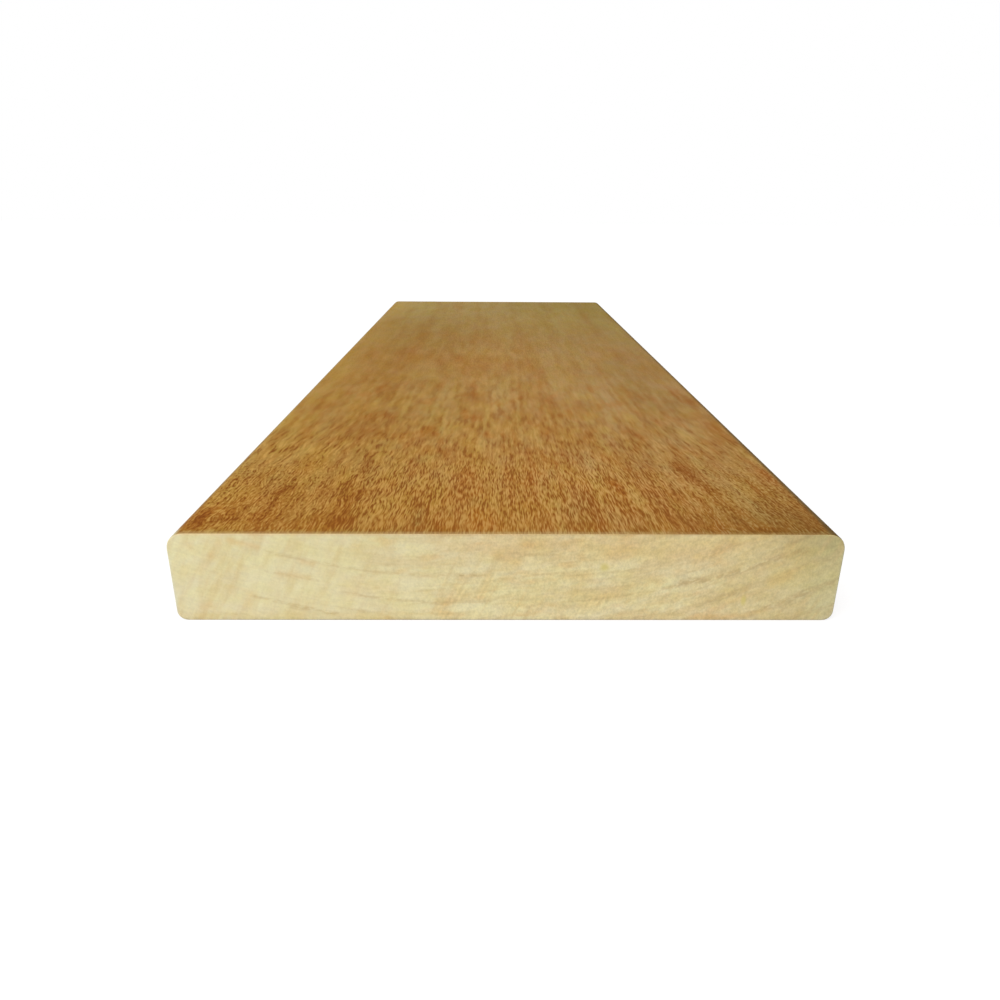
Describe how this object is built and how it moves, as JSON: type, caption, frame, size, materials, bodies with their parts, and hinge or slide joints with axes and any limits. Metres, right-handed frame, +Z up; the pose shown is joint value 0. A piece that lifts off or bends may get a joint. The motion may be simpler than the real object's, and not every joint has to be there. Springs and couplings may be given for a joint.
{
  "type": "decking board",
  "caption": "Short length of planed solid hardwood decking board with a smooth face, rounded long edges and square sawn ends.",
  "frame": {"origin": "middle of the underside, halfway along the length and across the width", "axes": "+X across the board, +Y along the board away from the near sawn end, +Z up out of the walking face"},
  "size_m": [0.145, 0.4, 0.021],
  "materials": {
    "timber": "planed, satin, golden brown"
  },
  "bodies": {
    "root": {"decking_board": "timber"}
  },
  "joints": []
}
